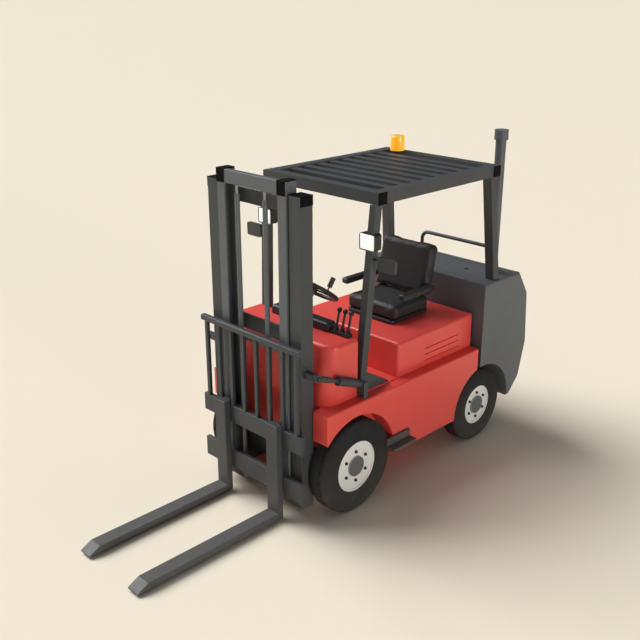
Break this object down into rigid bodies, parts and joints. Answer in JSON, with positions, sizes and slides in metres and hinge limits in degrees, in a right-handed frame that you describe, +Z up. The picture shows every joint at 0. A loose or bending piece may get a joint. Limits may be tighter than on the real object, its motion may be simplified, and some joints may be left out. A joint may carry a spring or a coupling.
{
  "type": "forklift truck",
  "caption": "Counterbalance forklift truck with a tilting telescopic mast, forks, overhead guard, operator's seat, hinged hood and a steered rear axle.",
  "frame": {"origin": "on the ground, below the middle of the whole length from the fork tips to the tail of the counterweight", "axes": "-Y forwards along the forks, +X to the truck's left flank, +Z up"},
  "size_m": [1.366, 3.494, 2.31],
  "materials": {
    "body_paint": "semi-gloss enamel",
    "floor_tread": "matt tread plate",
    "dark_paint": "satin enamel",
    "mast_paint": "satin enamel",
    "casting": "painted casting",
    "black_plastic": "grained",
    "seat_cover": "grained vinyl",
    "rod_steel": "ground",
    "lamp_glass": "clear lens",
    "beacon_lens": "amber lens",
    "tyre_rubber": "worn rubber",
    "rim_paint": "satin enamel"
  },
  "bodies": {
    "truck": {"chassis": "body_paint", "floor_plate": "body_paint", "cowl": "body_paint", "dash_pad": "black_plastic", "engine_block": "casting", "counterweight": "casting", "guard_frame": "dark_paint", "guard_caps": "black_plastic", "front_pillars": "dark_paint", "rear_pillars": "dark_paint", "head_lamps": "lamp_glass", "mirrors": "dark_paint", "beacon": "beacon_lens", "exhaust_stack": "dark_paint", "rear_hoop": "dark_paint", "steering_column": "dark_paint", "hand_levers": "black_plastic", "side_steps": "floor_tread", "drive_axle": "casting", "steer_axle": "casting", "tilt_brackets": "dark_paint"},
    "hood": {"engine_hood": "body_paint", "seat_base": "black_plastic", "seat_cushion": "seat_cover", "seat_back": "seat_cover", "armrests": "black_plastic"},
    "steering_wheel": {"steering_wheel": "black_plastic"},
    "mast": {"outer_mast": "dark_paint", "outer_mast_caps": "black_plastic", "lift_cylinders": "mast_paint"},
    "inner_mast": {"inner_mast": "mast_paint", "inner_mast_caps": "black_plastic", "lift_rods": "rod_steel"},
    "carriage": {"carriage": "dark_paint", "load_backrest": "dark_paint", "forks": "dark_paint"},
    "front_wheel_left": {"tyre_front_left": "tyre_rubber", "rim_front_left": "rim_paint"},
    "knuckle_left": {"knuckle_left": "casting"},
    "rear_wheel_left": {"tyre_rear_left": "tyre_rubber", "rim_rear_left": "rim_paint"},
    "tilt_barrel_left": {"tilt_barrel_left": "dark_paint"},
    "tilt_rod_left": {"tilt_rod_left": "dark_paint"},
    "front_wheel_right": {"tyre_front_right": "tyre_rubber", "rim_front_right": "rim_paint"},
    "knuckle_right": {"knuckle_right": "casting"},
    "rear_wheel_right": {"tyre_rear_right": "tyre_rubber", "rim_rear_right": "rim_paint"},
    "tilt_barrel_right": {"tilt_barrel_right": "dark_paint"},
    "tilt_rod_right": {"tilt_rod_right": "dark_paint"}
  },
  "joints": [
    {"name": "hood_lift", "type": "hinge", "parent": "truck", "child": "hood", "pos_m": [0, 1.1355, 1.002], "axis": [-1, 0, 0], "range_deg": [0, 30]},
    {"name": "mast_tilt", "type": "hinge", "parent": "truck", "child": "mast", "pos_m": [0, -0.187, 0.323], "axis": [-1, 0, 0], "range_deg": [-6, 6]},
    {"name": "mast_lift", "type": "slide", "parent": "mast", "child": "inner_mast", "axis": [0, 0, 1], "range_m": [0, 1.5]},
    {"name": "carriage_lift", "type": "slide", "parent": "inner_mast", "child": "carriage", "axis": [0, 0, 1], "range_m": [0, 1.5]},
    {"name": "steer_left", "type": "hinge", "parent": "truck", "child": "knuckle_left", "pos_m": [0.345, 1.193, 0.283], "axis": [0, 0, 1], "range_deg": [-70, 70]},
    {"name": "steer_right", "type": "hinge", "parent": "truck", "child": "knuckle_right", "pos_m": [-0.345, 1.193, 0.283], "axis": [0, 0, 1], "range_deg": [-70, 70]},
    {"name": "steering_turn", "type": "hinge", "parent": "truck", "child": "steering_wheel", "pos_m": [0, -0.045, 1.386], "axis": [0, 0.5878, 0.809], "range_deg": [-700, 700]},
    {"name": "front_wheel_left_spin", "type": "hinge", "parent": "truck", "child": "front_wheel_left", "pos_m": [0.4935, -0.187, 0.323], "axis": [1, 0, 0], "continuous": true},
    {"name": "rear_wheel_left_spin", "type": "hinge", "parent": "knuckle_left", "child": "rear_wheel_left", "pos_m": [0.456, 1.193, 0.283], "axis": [1, 0, 0], "continuous": true},
    {"name": "tilt_barrel_left_swing", "type": "hinge", "parent": "truck", "child": "tilt_barrel_left", "pos_m": [0.511, -0.095, 0.872], "axis": [-1, 0, 0], "range_deg": [-7.62, 7.62]},
    {"name": "tilt_rod_left_slide", "type": "slide", "parent": "tilt_barrel_left", "child": "tilt_rod_left", "axis": [0, -0.9259, 0.3779], "range_m": [-0.0575, 0.0575]},
    {"name": "front_wheel_right_spin", "type": "hinge", "parent": "truck", "child": "front_wheel_right", "pos_m": [-0.4935, -0.187, 0.323], "axis": [1, 0, 0], "continuous": true},
    {"name": "rear_wheel_right_spin", "type": "hinge", "parent": "knuckle_right", "child": "rear_wheel_right", "pos_m": [-0.456, 1.193, 0.283], "axis": [1, 0, 0], "continuous": true},
    {"name": "tilt_barrel_right_swing", "type": "hinge", "parent": "truck", "child": "tilt_barrel_right", "pos_m": [-0.511, -0.095, 0.872], "axis": [-1, 0, 0], "range_deg": [-7.62, 7.62]},
    {"name": "tilt_rod_right_slide", "type": "slide", "parent": "tilt_barrel_right", "child": "tilt_rod_right", "axis": [0, -0.9259, 0.3779], "range_m": [-0.0575, 0.0575]}
  ],
  "couplings": [
    {"joint": "carriage_lift", "follows": "mast_lift", "ratio": 1},
    {"joint": "steer_right", "follows": "steer_left", "ratio": 1},
    {"joint": "steering_turn", "follows": "steer_left", "ratio": -10},
    {"joint": "tilt_barrel_left_swing", "follows": "mast_tilt", "ratio": 1.268},
    {"joint": "tilt_rod_left_slide", "follows": "mast_tilt", "m_per_rad": -0.538},
    {"joint": "tilt_barrel_right_swing", "follows": "mast_tilt", "ratio": 1.268},
    {"joint": "tilt_rod_right_slide", "follows": "mast_tilt", "m_per_rad": -0.538}
  ]
}
